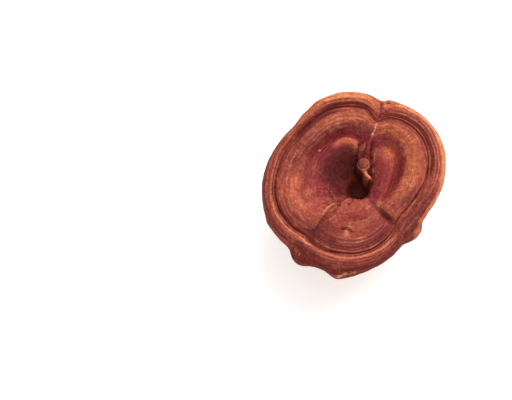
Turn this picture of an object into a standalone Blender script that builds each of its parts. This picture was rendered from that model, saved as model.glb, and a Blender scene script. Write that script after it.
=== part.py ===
"""A reishi mushroom cut from its log: a round cap, whose lobes have grown together round a deep
pit, on a short stem that is cut off flat.

The cap is one skin, lofted through closed contour lines. They start at the pit's floor, climb over
the folds round the pit and the plateau behind them, cross the rolled rim, and come back under the
cap to the stem. A contour is a handful of (angle, radius, height) points: angles in degrees,
anticlockwise from +X, radii in millimetres from the pit's axis, and heights in millimetres from
the rim's crest. The frame's origin is the centre of the cut face under the stem, with +Z up the
stem and +Y towards the seam where the lobes meet behind the pit.
"""

import bpy
import numpy as np

MM = 0.001

# Driving sizes, in millimetres
RIM_HEIGHT = 62.0
JOINT_HEIGHT = 27.0
JOINT_RADIUS = 15.0
WAIST_RADIUS = 13.0
CUT_RADIUS = 19.0
JOINT_GAP = 0.3
PIT_AXIS = (3.0, 1.0)
PIT_DEPTH = 26.0
RIM_THICKNESS = 13.4
FRONT_EXTRA = 0.1  # how much thicker the rim is in front than on average, and thinner behind
GROOVE_DEPTH = 2.8

CAP_STEPS = 100
STEM_STEPS = 44
BLUR = 2.6  # degrees to each side over which the corners of a contour are rounded off

# The outline of the cap, and the groove along the inside of its rolled rim: (angle, radius)
MARGIN = [
    (10, 68.2), (22, 72.3), (34, 75.0), (47, 76.4), (60, 76.0), (70, 74.6), (76, 72.2),
    (84, 76.9), (96, 79.1), (106, 79.3), (115, 78.2), (125, 74.2), (136, 70.6), (150, 71.2),
    (170, 74.2), (190, 75.8), (206, 77.4), (218, 75.9), (225, 75.0), (231, 79.8), (236, 80.6),
    (243, 75.2), (250, 75.1), (257, 79.2), (263, 77.0), (269, 73.7), (277, 70.1), (286, 66.7),
    (296, 62.9), (304, 59.7), (312, 62.3), (319, 61.7), (328, 57.6), (336, 58.4), (345, 60.2),
    (357, 64.1),
]
GROOVE = [
    (2, 51.5), (13, 54.6), (24, 57.8), (36, 60.4), (46, 61.1), (56, 60.2), (66, 57.6),
    (71, 53.4), (75, 51.2), (79, 56.0), (86, 61.4), (97, 63.4), (112, 64.6), (129, 62.6),
    (147, 61.9), (161, 63.2), (178, 64.4), (192, 65.3), (205, 64.9), (217, 62.8), (229, 58.9),
    (243, 60.0), (254, 59.8), (267, 58.2), (279, 55.9), (290, 52.5), (303, 47.5), (311, 44.0),
    (320, 42.6), (337, 44.0), (351, 48.0),
]

# Contours round the pit, from its floor outwards: (angle, radius, height)
FLOOR = [(0, 4.0, -25.6)]
WALL = [
    (0, 8.0, -17.5), (60, 10.0, -19.0), (95, 9.0, -20.5), (125, 10.0, -20.5), (180, 10.0, -19.0),
    (225, 11.0, -17.0), (270, 9.5, -17.5), (310, 11.0, -17.5),
]
MOUTH = [
    (5, 11.3, -8.4), (30, 13.2, -8.2), (50, 16.0, -9.4), (62, 19.0, -12.5), (76, 17.0, -12.0),
    (92, 17.5, -15.0), (110, 19.0, -14.0), (145, 19.5, -13.0), (180, 19.0, -12.0),
    (205, 18.5, -10.5), (225, 20.0, -9.0), (240, 16.5, -9.0), (270, 12.8, -9.0), (292, 14.0, -9.0),
    (305, 16.0, -9.5), (320, 13.6, -9.2), (335, 10.8, -8.8),
]
FOLD = [
    (5, 18.3, -4.0), (20, 21.0, -3.7), (32, 24.5, -3.4), (42, 29.0, -3.2), (50, 31.5, -4.4),
    (58, 31.0, -9.0), (68, 30.0, -9.8), (76, 28.0, -7.5), (85, 30.0, -10.0), (91, 31.5, -8.0),
    (98, 34.5, -5.6), (107, 37.0, -5.0), (125, 35.0, -5.6), (145, 35.0, -7.0), (160, 33.0, -8.4),
    (180, 30.0, -8.4), (200, 28.0, -6.8), (214, 26.0, -4.4), (224, 25.5, -2.0), (229, 24.5, -5.8),
    (247, 18.5, -5.0), (270, 17.0, -4.8), (290, 18.0, -4.8), (306, 20.5, -6.0), (314, 18.2, -6.6),
    (335, 16.7, -4.8),
]
CREASE = [
    (5, 26.8, -10.2), (20, 31.5, -10.4), (30, 35.2, -10.5), (42, 38.6, -10.5), (54, 38.8, -9.6),
    (66, 37.0, -8.4), (76, 36.0, -6.4), (86, 37.0, -8.2), (93, 41.0, -9.6), (105, 44.2, -10.2),
    (125, 42.8, -10.2), (147, 41.0, -9.2), (160, 39.5, -7.2), (180, 38.0, -5.6), (200, 38.0, -4.0),
    (214, 35.0, -2.8), (225, 34.0, -1.0), (230, 33.0, -5.4), (247, 28.0, -4.2), (270, 28.0, -3.8),
    (290, 26.5, -4.2), (307, 25.5, -5.8), (314, 22.4, -6.4), (335, 23.4, -9.4), (350, 24.6, -9.9),
]
SHELF = [
    (5, 35.2, -3.2), (20, 39.9, -3.4), (34, 45.0, -3.5), (48, 48.4, -3.6), (62, 48.7, -3.7),
    (73, 43.2, -3.6), (87, 45.5, -3.6), (98, 48.8, -3.2), (112, 48.8, -3.1), (133, 46.6, -3.1),
    (156, 45.8, -2.7), (178, 47.0, -2.2), (197, 50.0, -1.6), (214, 47.0, -1.3), (226, 44.0, -0.8),
    (231, 43.0, -5.0), (247, 43.0, -4.7), (270, 42.0, -4.6), (290, 38.0, -4.8), (307, 33.0, -5.6),
    (314, 28.5, -2.4), (335, 29.8, -2.8), (350, 31.8, -3.0),
]
PLATEAU_HEIGHT = [
    (30, -0.9), (68, -1.1), (75, -2.2), (82, -1.1), (130, -0.8), (190, -0.5), (226, -0.3),
    (231, -4.2), (260, -3.7), (285, -3.9), (307, -4.6), (314, -1.1), (340, -0.7),
]

# Between the mouth of the pit and the crest of the fold, and between that and the crease behind
# it: (share of the distance, share of the difference in height). They keep the fold plump.
FOLD_INSIDE = (0.45, 0.64)
FOLD_OUTSIDE = (0.58, 0.30)

# Across the plateau from the shelf to the groove: (share of its width, depth below its height)
PLATEAU_SECTION = [(0.45, 0.0), (0.86, 0.4)]
SINK_OF_GROOVE = 0.6  # how far the groove follows the front lobe down

# Across the rolled rim from its groove, over the top and back under: (share of its width, share
# of its thickness below the crest). The crest itself lies further out at the back and right.
RIM_INNER = [(0.12, 0.085), (0.20, 0.14)]
CREST_SHARE = 0.48
CREST_SWING = 0.14
CREST_SWING_ANGLE = 50.0
RIM_OUTER = [(0.86, 0.17), (1.0, 0.5), (0.88, 0.84), (0.55, 1.0)]

# Under the cap: (share of the groove's radius, depth below the rim), then the funnel that the
# stem widens into: (radius, height)
UNDER_SECTION = [(0.80, 0.8), (0.52, 3.6)]
FUNNEL = [(21.5, -21.5), (16.5, -27.5), (JOINT_RADIUS, JOINT_HEIGHT - RIM_HEIGHT)]

# Mesh rows between each contour and the next
CAP_ROWS = [1, 1, 3, 2, 2, 2, 2, 2, 3, 2, 2, 1, 1, 2, 2, 2, 2, 1, 2, 2, 1, 1, 1, 1]
GROOVE_STATION = 11

# The seam's fleshy cord, from the rim to the knob that hangs over the pit: (x, y, height)
SEAM = [(15.4, 53.0, 1.4), (10.6, 41.0, 2.0), (6.8, 29.0, 3.2), (4.6, 21.0, 3.4)]
SEAM_HALF_WIDTH = 2.6
KNOB_PLACE = (3.6, 15.0)
KNOB_RADIUS = 5.6
KNOB_TOP = -1.8
KNOB_FALL = 2.8  # how far the knob's crown falls away by its radius
KNOB_REACH = (0.8, 1.5)  # shares of its radius between which it merges with what is round it

# The stem, from the joint down to the cut: (height, radius)
STEM_TOP = JOINT_HEIGHT - JOINT_GAP
STEM_SECTION = [
    (STEM_TOP, 0.0), (STEM_TOP, JOINT_RADIUS), (0.78 * STEM_TOP, 13.8),
    (0.52 * STEM_TOP, WAIST_RADIUS), (0.24 * STEM_TOP, 15.2), (0.0, CUT_RADIUS), (0.0, 0.0),
]
STEM_ROWS = [1, 2, 2, 3, 3, 1]
STEM_FLATS = 0.05  # how oval the stem is, and how deep its ribs are, as shares of its radius
STEM_RIBS = 0.04


def ring(points, angles):
    """Values round a closed contour through (angle, value) points, with its corners rounded."""
    at, value = np.array(points, float).T
    shifts = np.linspace(-BLUR, BLUR, 7)
    weights = np.cos(shifts / BLUR * np.pi / 2.6)
    total = sum(w * np.interp(angles + s, at, value, period=360) for s, w in zip(shifts, weights))
    return total / weights.sum()


def contour(points, angles):
    """The radii and heights of a contour at the given angles."""
    radii = ring([(angle, radius) for angle, radius, height in points], angles)
    heights = ring([(angle, height) for angle, radius, height in points], angles)
    return radii, heights


def circle(radius, height, angles):
    return np.full_like(angles, radius), np.full_like(angles, height)


def part_way(first, second, shares):
    """A contour between two others, at a share of their distance and of their step in height."""
    return tuple(a + share * (b - a) for a, b, share in zip(first, second, shares))


def cap_contours(angles):
    """Every contour of the cap, from the pit's centre out and round to the middle of the joint."""
    margin = ring(MARGIN, angles)
    groove = ring(GROOVE, angles)
    plateau = ring(PLATEAU_HEIGHT, angles)
    thickness = RIM_THICKNESS * (1 - FRONT_EXTRA * np.sin(np.radians(angles)))
    crest = CREST_SHARE + CREST_SWING * np.cos(np.radians(angles - CREST_SWING_ANGLE))
    mouth, fold, crease = (contour(points, angles) for points in (MOUTH, FOLD, CREASE))
    contours = [circle(0.0, -PIT_DEPTH, angles), contour(FLOOR, angles), contour(WALL, angles)]
    contours += [mouth, part_way(mouth, fold, FOLD_INSIDE), fold]
    contours += [part_way(fold, crease, FOLD_OUTSIDE), crease, contour(SHELF, angles)]
    shelf = contours[-1][0]
    for share, depth in PLATEAU_SECTION:
        contours.append((shelf + share * (groove - shelf), plateau - depth))
    contours.append((groove, SINK_OF_GROOVE * np.minimum(0, plateau + 1) - GROOVE_DEPTH))
    for share, drop in RIM_INNER + [(crest, 0.0)] + RIM_OUTER:
        contours.append((groove + share * (margin - groove), -drop * thickness))
    for share, depth in UNDER_SECTION:
        contours.append((share * groove, -thickness - depth))
    contours += [circle(radius, height, angles) for radius, height in FUNNEL]
    contours.append(circle(0.0, JOINT_HEIGHT - RIM_HEIGHT, angles))
    return contours


def loft(values, station):
    """Smooth values between contours, which never swing past the contours' own."""
    values = np.array(values)
    step = np.diff(values, axis=0)
    before, after = step[:-1], step[1:]
    same_way = before * after > 0
    slope = np.zeros_like(values)
    slope[1:-1][same_way] = 2 * (before * after)[same_way] / (before + after)[same_way]
    slope[0], slope[-1] = step[0], step[-1]
    first = np.minimum(station.astype(int), len(step) - 1)
    column = np.arange(len(station))
    start, end = values[first, column], values[first + 1, column]
    leaving, arriving = slope[first, column], slope[first + 1, column]
    t = station - first
    return start + (end - start) * smooth(t) + t * (1 - t) * ((1 - t) * leaving - t * arriving)


def smooth(t):
    t = np.clip(t, 0, 1)
    return t * t * (3 - 2 * t)


def spindle(name, rows, steps):
    """A turned blank whose height counts off the contours, from 0 at its upper end downwards."""
    stations = [first + i / count for first, count in enumerate(rows) for i in range(count)]
    stations.append(len(rows))
    ends = (0, len(stations) - 1)
    points = [(0.0 if i in ends else 1.0, 0.0, -station) for i, station in enumerate(stations)]
    profile = bpy.data.meshes.new(name + "_profile")
    profile.from_pydata(points, [(i, i + 1) for i in range(ends[1])], [])
    blank = bpy.data.objects.new(name, profile)
    parts.objects.link(blank)
    screw = blank.modifiers.new("turn", "SCREW")
    screw.steps = steps
    screw.render_steps = steps
    screw.use_merge_vertices = True
    screw.merge_threshold = 0.0001
    bpy.context.view_layer.update()
    turned = blank.evaluated_get(bpy.context.evaluated_depsgraph_get())
    blank.data = bpy.data.meshes.new_from_object(turned)
    blank.modifiers.clear()
    bpy.data.meshes.remove(profile)
    return blank


def stations_and_angles(mesh):
    """Where each vertex of a blank belongs: its place along the contours, and round them."""
    points = np.empty(3 * len(mesh.vertices), np.float32)
    mesh.vertices.foreach_get("co", points)
    x, y, z = points.reshape(-1, 3).astype(float).T
    return -z, np.degrees(np.arctan2(y, x)) % 360


def place(mesh, x, y, z):
    mesh.vertices.foreach_set("co", (np.column_stack([x, y, z]) * MM).ravel())
    mesh.update()
    mesh.shade_smooth()


def seam_lift(x, y):
    """How high the seam's cord stands at each point of the plan."""
    lift = np.zeros_like(x)
    for (x0, y0, height0), (x1, y1, height1) in zip(SEAM, SEAM[1:]):
        along = ((x - x0) * (x1 - x0) + (y - y0) * (y1 - y0)) / ((x1 - x0) ** 2 + (y1 - y0) ** 2)
        along = np.clip(along, 0, 1)
        away = np.hypot(x - x0 - along * (x1 - x0), y - y0 - along * (y1 - y0))
        height = height0 + along * (height1 - height0)
        lift = np.maximum(lift, height * np.exp(-((away / SEAM_HALF_WIDTH) ** 2)))
    return lift


def knob_lift(x, y, z):
    """How far the round knob at the seam's inner end stands above the skin."""
    away = np.hypot(x - KNOB_PLACE[0], y - KNOB_PLACE[1]) / KNOB_RADIUS
    crown = KNOB_TOP - KNOB_FALL * away ** 2
    full, gone = KNOB_REACH
    return smooth((gone - away) / (gone - full)) * np.maximum(crown - z, 0)


def build_cap():
    cap = spindle("cap", CAP_ROWS, CAP_STEPS)
    station, angle = stations_and_angles(cap.data)
    contours = cap_contours(angle)
    radius = loft([radii for radii, heights in contours], station)
    z = loft([heights for radii, heights in contours], station)
    x = radius * np.cos(np.radians(angle))
    y = radius * np.sin(np.radians(angle))
    inside_rim = station < GROOVE_STATION
    z += np.where(inside_rim, seam_lift(x, y), 0)
    z += np.where(inside_rim, knob_lift(x, y, z), 0)
    place(cap.data, x, y, z)
    cap.location = (PIT_AXIS[0] * MM, PIT_AXIS[1] * MM, RIM_HEIGHT * MM)
    return cap


def build_stem():
    stem = spindle("stem", STEM_ROWS, STEM_STEPS)
    station, angle = stations_and_angles(stem.data)
    section = [circle(radius, height, angle) for height, radius in STEM_SECTION]
    radius = loft([radii for radii, heights in section], station)
    z = loft([heights for radii, heights in section], station)
    turn = np.radians(angle)
    rise = z / STEM_TOP
    oval = STEM_FLATS * np.cos(2 * turn + 0.6)
    ribs = STEM_RIBS * np.cos(5 * turn + 4 * rise)
    radius *= 1 + np.sin(np.pi * rise) * (oval + ribs)
    x = radius * np.cos(turn) + PIT_AXIS[0] * smooth(rise)
    y = radius * np.sin(turn) + PIT_AXIS[1] * smooth(rise)
    place(stem.data, x, y, z)
    return stem


def crust(name, colour, roughness):
    material = bpy.data.materials.new(name)
    material.use_nodes = True
    shader = material.node_tree.nodes["Principled BSDF"]
    shader.inputs["Base Color"].default_value = (*colour, 1.0)
    shader.inputs["Roughness"].default_value = roughness
    shader.inputs["Metallic"].default_value = 0.0
    return material


for old in list(bpy.data.objects):
    bpy.data.objects.remove(old)
parts = bpy.data.collections.new("reishi_mushroom")
bpy.context.scene.collection.children.link(parts)

build_cap().data.materials.append(crust("cap_crust", (0.36, 0.09, 0.055), 0.6))
build_stem().data.materials.append(crust("stem_crust", (0.16, 0.04, 0.025), 0.45))
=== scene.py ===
"""The looks of the reishi mushroom: its crust, folds, growth rings and pores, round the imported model.

The cap's skin is lofted through the same contours as the solid, with many more rows, and then gets
the relief that is too fine for the solid. Lengths are in millimetres until a mesh is placed.
Angles are in degrees, anticlockwise from +X about the pit's axis, and heights are from the rim's
crest. A station counts the contours, from 0 at the pit's centre to the middle of the joint.
"""

from itertools import product

import bpy
import numpy as np
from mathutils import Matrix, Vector


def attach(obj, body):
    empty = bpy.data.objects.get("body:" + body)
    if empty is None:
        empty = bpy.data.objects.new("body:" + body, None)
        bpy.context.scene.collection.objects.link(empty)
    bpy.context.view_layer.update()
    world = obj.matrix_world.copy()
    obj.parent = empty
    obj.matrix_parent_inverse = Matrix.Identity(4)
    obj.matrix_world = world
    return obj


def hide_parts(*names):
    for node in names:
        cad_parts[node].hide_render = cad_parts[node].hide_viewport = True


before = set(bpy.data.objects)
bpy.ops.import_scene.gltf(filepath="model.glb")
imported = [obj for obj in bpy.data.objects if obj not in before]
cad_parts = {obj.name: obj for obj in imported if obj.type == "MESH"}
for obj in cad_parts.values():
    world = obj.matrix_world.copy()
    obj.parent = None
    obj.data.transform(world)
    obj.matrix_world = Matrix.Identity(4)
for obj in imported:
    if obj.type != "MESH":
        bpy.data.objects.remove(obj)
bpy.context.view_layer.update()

MM = 0.001

# The photograph's frame and the camera that took it
FRAME_PX = (512, 400)
TARGET_PX = (353.5, 184.0)
CAP_WIDTH_PX = 182.0
CAP_WIDTH = 0.1405
LENS_MM = 85.0
SENSOR_MM = 36.0
CAMERA_ELEVATION = 68.0

# Driving sizes, as in the solids
RIM_HEIGHT = 62.0
JOINT_HEIGHT = 27.0
JOINT_RADIUS = 15.0
WAIST_RADIUS = 13.0
CUT_RADIUS = 19.0
JOINT_GAP = 0.3
PIT_AXIS = (3.0, 1.0)
PIT_DEPTH = 26.0
RIM_THICKNESS = 13.4
FRONT_EXTRA = 0.1
GROOVE_DEPTH = 2.8
BLUR = 2.6

# The outline of the cap, and the groove along the inside of its rolled rim: (angle, radius)
MARGIN = [
    (10, 68.2), (22, 72.3), (34, 75.0), (47, 76.4), (60, 76.0), (70, 74.6), (76, 72.2),
    (84, 76.9), (96, 79.1), (106, 79.3), (115, 78.2), (125, 74.2), (136, 70.6), (150, 71.2),
    (170, 74.2), (190, 75.8), (206, 77.4), (218, 75.9), (225, 75.0), (231, 79.8), (236, 80.6),
    (243, 75.2), (250, 75.1), (257, 79.2), (263, 77.0), (269, 73.7), (277, 70.1), (286, 66.7),
    (296, 62.9), (304, 59.7), (312, 62.3), (319, 61.7), (328, 57.6), (336, 58.4), (345, 60.2),
    (357, 64.1),
]
GROOVE = [
    (2, 51.5), (13, 54.6), (24, 57.8), (36, 60.4), (46, 61.1), (56, 60.2), (66, 57.6),
    (71, 53.4), (75, 51.2), (79, 56.0), (86, 61.4), (97, 63.4), (112, 64.6), (129, 62.6),
    (147, 61.9), (161, 63.2), (178, 64.4), (192, 65.3), (205, 64.9), (217, 62.8), (229, 58.9),
    (243, 60.0), (254, 59.8), (267, 58.2), (279, 55.9), (290, 52.5), (303, 47.5), (311, 44.0),
    (320, 42.6), (337, 44.0), (351, 48.0),
]

# Contours round the pit, from its floor outwards: (angle, radius, height)
FLOOR = [(0, 4.0, -25.6)]
WALL = [
    (0, 8.0, -17.5), (60, 10.0, -19.0), (95, 9.0, -20.5), (125, 10.0, -20.5), (180, 10.0, -19.0),
    (225, 11.0, -17.0), (270, 9.5, -17.5), (310, 11.0, -17.5),
]
MOUTH = [
    (5, 11.3, -8.4), (30, 13.2, -8.2), (50, 16.0, -9.4), (62, 19.0, -12.5), (76, 17.0, -12.0),
    (92, 17.5, -15.0), (110, 19.0, -14.0), (145, 19.5, -13.0), (180, 19.0, -12.0),
    (205, 18.5, -10.5), (225, 20.0, -9.0), (240, 16.5, -9.0), (270, 12.8, -9.0), (292, 14.0, -9.0),
    (305, 16.0, -9.5), (320, 13.6, -9.2), (335, 10.8, -8.8),
]
FOLD = [
    (5, 18.3, -4.0), (20, 21.0, -3.7), (32, 24.5, -3.4), (42, 29.0, -3.2), (50, 31.5, -4.4),
    (58, 31.0, -9.0), (68, 30.0, -9.8), (76, 28.0, -7.5), (85, 30.0, -10.0), (91, 31.5, -8.0),
    (98, 34.5, -5.6), (107, 37.0, -5.0), (125, 35.0, -5.6), (145, 35.0, -7.0), (160, 33.0, -8.4),
    (180, 30.0, -8.4), (200, 28.0, -6.8), (214, 26.0, -4.4), (224, 25.5, -2.0), (229, 24.5, -5.8),
    (247, 18.5, -5.0), (270, 17.0, -4.8), (290, 18.0, -4.8), (306, 20.5, -6.0), (314, 18.2, -6.6),
    (335, 16.7, -4.8),
]
CREASE = [
    (5, 26.8, -10.2), (20, 31.5, -10.4), (30, 35.2, -10.5), (42, 38.6, -10.5), (54, 38.8, -9.6),
    (66, 37.0, -8.4), (76, 36.0, -6.4), (86, 37.0, -8.2), (93, 41.0, -9.6), (105, 44.2, -10.2),
    (125, 42.8, -10.2), (147, 41.0, -9.2), (160, 39.5, -7.2), (180, 38.0, -5.6), (200, 38.0, -4.0),
    (214, 35.0, -2.8), (225, 34.0, -1.0), (230, 33.0, -5.4), (247, 28.0, -4.2), (270, 28.0, -3.8),
    (290, 26.5, -4.2), (307, 25.5, -5.8), (314, 22.4, -6.4), (335, 23.4, -9.4), (350, 24.6, -9.9),
]
SHELF = [
    (5, 35.2, -3.2), (20, 39.9, -3.4), (34, 45.0, -3.5), (48, 48.4, -3.6), (62, 48.7, -3.7),
    (73, 43.2, -3.6), (87, 45.5, -3.6), (98, 48.8, -3.2), (112, 48.8, -3.1), (133, 46.6, -3.1),
    (156, 45.8, -2.7), (178, 47.0, -2.2), (197, 50.0, -1.6), (214, 47.0, -1.3), (226, 44.0, -0.8),
    (231, 43.0, -5.0), (247, 43.0, -4.7), (270, 42.0, -4.6), (290, 38.0, -4.8), (307, 33.0, -5.6),
    (314, 28.5, -2.4), (335, 29.8, -2.8), (350, 31.8, -3.0),
]
PLATEAU_HEIGHT = [
    (30, -0.9), (68, -1.1), (75, -2.2), (82, -1.1), (130, -0.8), (190, -0.5), (226, -0.3),
    (231, -4.2), (260, -3.7), (285, -3.9), (307, -4.6), (314, -1.1), (340, -0.7),
]

# Between the mouth of the pit and the crest of the fold, and between that and the crease behind
# it: (share of the distance, share of the difference in height). They keep the fold plump.
FOLD_INSIDE = (0.45, 0.64)
FOLD_OUTSIDE = (0.58, 0.30)

# Across the plateau from the shelf to the groove: (share of its width, depth below its height)
PLATEAU_SECTION = [(0.45, 0.0), (0.86, 0.4)]
SINK_OF_GROOVE = 0.6  # how far the groove follows the front lobe down
PLATEAU_WIDTH = 16.0  # about what it measures across, for rings that keep their pace

# Across the rolled rim from its groove, over the top and back under: (share of its width, share
# of its thickness below the crest). The crest itself lies further out at the back and right.
RIM_INNER = [(0.12, 0.085), (0.20, 0.14)]
CREST_SHARE = 0.48
CREST_SWING = 0.14
CREST_SWING_ANGLE = 50.0
RIM_OUTER = [(0.86, 0.17), (1.0, 0.5), (0.88, 0.84), (0.55, 1.0)]

# Under the cap: (share of the groove's radius, depth below the rim), then the funnel that the
# stem widens into: (radius, height)
UNDER_SECTION = [(0.80, 0.8), (0.52, 3.6)]
FUNNEL = [(21.5, -21.5), (16.5, -27.5), (JOINT_RADIUS, JOINT_HEIGHT - RIM_HEIGHT)]

# The seam's fleshy cord, from the rim to the knob that hangs over the pit: (x, y, height)
SEAM = [(15.4, 53.0, 1.4), (10.6, 41.0, 2.0), (6.8, 29.0, 3.2), (4.6, 21.0, 3.4)]
SEAM_HALF_WIDTH = 2.6
KNOB_PLACE = (3.6, 15.0)
KNOB_RADIUS = 5.6
KNOB_TOP = -1.8
KNOB_FALL = 2.8  # how far the knob's crown falls away by its radius
KNOB_REACH = (0.8, 1.5)  # shares of its radius between which it merges with what is round it

# The pale flap of flesh that hangs from the knob across the pit's mouth
FLAP = [(4.2, 11.4), (5.0, 9.2), (6.4, 7.0), (8.0, 5.0), (9.2, 3.4)]
FLAP_TOP = -5.4
FLAP_HALF_WIDTH = 1.5

# Stations of the contours
WALL_AT, MOUTH_AT, FOLD_AT, CREASE_AT, SHELF_AT, GROOVE_AT = 2, 3, 5, 7, 8, 11
CREST_AT, MARGIN_AT, UNDER_EDGE_AT, FUNNEL_AT, JOINT_AT = 14, 16, 18, 21, 23

# Where the pit's near lip bulges inwards in the skin: (angle, half width, how far)
LIP_BULGES = [(251, 16, 2.0), (308, 22, 2.8)]

# Fine mesh rows between each contour and the next, and steps round
CAP_ROWS = [2, 12, 14, 14, 12, 10, 8, 13, 14, 14, 8, 4, 4, 12, 14, 12, 12, 9, 9, 8, 6, 4, 4, 2]
CAP_STEPS = 440

STEM_TOP = JOINT_HEIGHT - JOINT_GAP
STEM_SECTION = [
    (STEM_TOP, 0.0), (STEM_TOP, JOINT_RADIUS), (0.78 * STEM_TOP, 13.8),
    (0.52 * STEM_TOP, WAIST_RADIUS), (0.24 * STEM_TOP, 15.2), (0.0, CUT_RADIUS), (0.0, 0.0),
]
STEM_ROWS = [6, 12, 16, 16, 14, 10]
STEM_STEPS = 160
STEM_FLATS = 0.05
STEM_RIBS = 0.04

# Lines along the rim: (from angle, to angle, distance outside the groove at either end, half
# width, tone). A line with a tone above 0 is a pale ridge, and one below 0 a dark furrow: the tone is
# the crust's own lines together with painted light on the ridges and painted shade in the furrows.
RIM_LINES = [
    # The right side, from the lower right to the seam
    (-44, 12, -0.8, 0.0, 0.30, -0.75), (8, 70, 0.2, 1.5, 0.35, -0.85), (20, 66, -0.2, 0.4, 0.4, 0.3),
    (16, 64, -1.4, -1.0, 0.4, -0.35), (12, 66, 2.2, 2.6, 0.35, 0.2), (6, 72, 3.0, 3.6, 0.45, -0.6),
    (14, 68, 4.6, 5.2, 0.5, -0.5), (0, 66, 6.0, 6.4, 0.45, 0.2), (4, 66, 7.2, 7.8, 0.4, -0.5),
    (-6, 64, 8.2, 9.0, 0.6, 0.25), (-12, 40, 9.4, 10.4, 0.35, -0.4), (0, 64, 12.2, 11.8, 0.7, 0.5),
    (4, 60, 13.2, 13.6, 0.35, -0.3), (-44, -14, 1.4, 1.6, 0.7, 0.16), (-40, -10, 4.0, 4.4, 0.4, -0.25),
    (-44, -16, 7.2, 7.4, 0.5, -0.22), (-40, -14, 9.6, 9.8, 0.5, 0.14),
    # The top, from the seam to the upper left
    (79, 108, 1.4, 0.9, 0.4, -0.9), (104, 140, 0.8, 0.1, 0.4, -0.7), (79, 104, 0.2, -0.2, 0.4, 0.3),
    (79, 106, 2.5, 2.3, 0.35, 0.18), (79, 112, 3.6, 3.2, 0.8, -0.7), (80, 108, 4.9, 4.6, 0.4, -0.4),
    (80, 124, 6.0, 5.4, 0.5, 0.22), (81, 112, 7.6, 6.9, 0.4, -0.55), (84, 112, 9.6, 9.0, 1.0, 0.35),
    (86, 120, 11.6, 10.6, 0.35, -0.25), (84, 116, 13.0, 12.2, 0.8, 0.3), (98, 142, -2.6, -3.4, 0.4, -0.6),
    (104, 138, -1.4, -1.6, 0.7, -0.4), (106, 136, 1.9, 2.4, 0.9, -0.4), (122, 146, 4.2, 4.4, 0.4, -0.2),
    (82, 150, -5.6, -6.0, 0.5, 0.16), (80, 150, -7.6, -8.0, 0.4, -0.2), (84, 146, -9.2, -9.4, 0.5, 0.2),
    (82, 148, -11.0, -11.0, 0.5, -0.28), (86, 140, -12.4, -12.6, 0.4, 0.16),
    # The left side
    (150, 215, -5.0, -5.0, 0.4, 0.14), (150, 222, -7.2, -7.6, 0.4, -0.2), (155, 218, -9.0, -9.6, 0.5, 0.16),
    (160, 220, -11.4, -12.0, 0.5, -0.2),
    (138, 200, 2.8, 3.0, 0.6, 0.3), (142, 186, 1.6, 1.7, 0.3, -0.4), (136, 176, -2.9, -2.7, 0.35, -0.45),
    (138, 206, -0.2, 0.1, 0.45, -0.5), (150, 206, -1.4, -1.6, 0.5, -0.22), (150, 205, 5.0, 5.2, 0.4, -0.25),
    (140, 190, 6.2, 6.6, 0.6, 0.14), (160, 224, 8.0, 8.6, 0.5, -0.3), (194, 226, 3.2, 3.8, 1.9, 0.5),
    (200, 226, 0.9, 1.0, 0.3, -0.22), (180, 234, 0.1, 0.0, 0.4, -0.5), (190, 222, 6.4, 6.8, 0.35, -0.25),
    (196, 226, 10.4, 10.8, 0.5, -0.2),
    # The front
    (230, 256, 1.3, 1.0, 1.2, -1.0), (246, 290, -0.2, -0.4, 0.4, -0.85), (286, 318, -0.5, -0.8, 0.3, -0.75),
    (244, 300, -1.8, -1.8, 0.5, 0.25), (232, 300, -2.9, -3.0, 0.35, -0.45), (226, 300, -5.0, -5.2, 0.7, -0.4),
    (238, 300, 4.4, 4.2, 1.3, 0.42), (250, 304, 2.4, 2.2, 0.3, -0.25), (246, 300, 1.1, 1.0, 0.4, 0.2),
    (246, 300, -7.4, -7.2, 0.5, -0.22), (246, 302, -8.8, -8.6, 0.5, 0.22), (248, 300, -10.6, -10.2, 0.5, -0.22),
    (250, 300, -12.2, -11.6, 0.4, 0.2), (250, 298, -14.2, -13.4, 0.5, -0.2), (246, 304, 6.4, 6.2, 0.4, -0.4), (248, 304, 7.2, 7.2, 0.4, 0.2), (248, 304, 8.3, 8.0, 0.4, -0.35),
    (248, 304, 9.4, 9.2, 0.4, 0.12), (250, 300, 10.6, 10.2, 0.4, -0.3), (252, 296, 12.4, 12.0, 0.5, -0.25),
]
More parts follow.
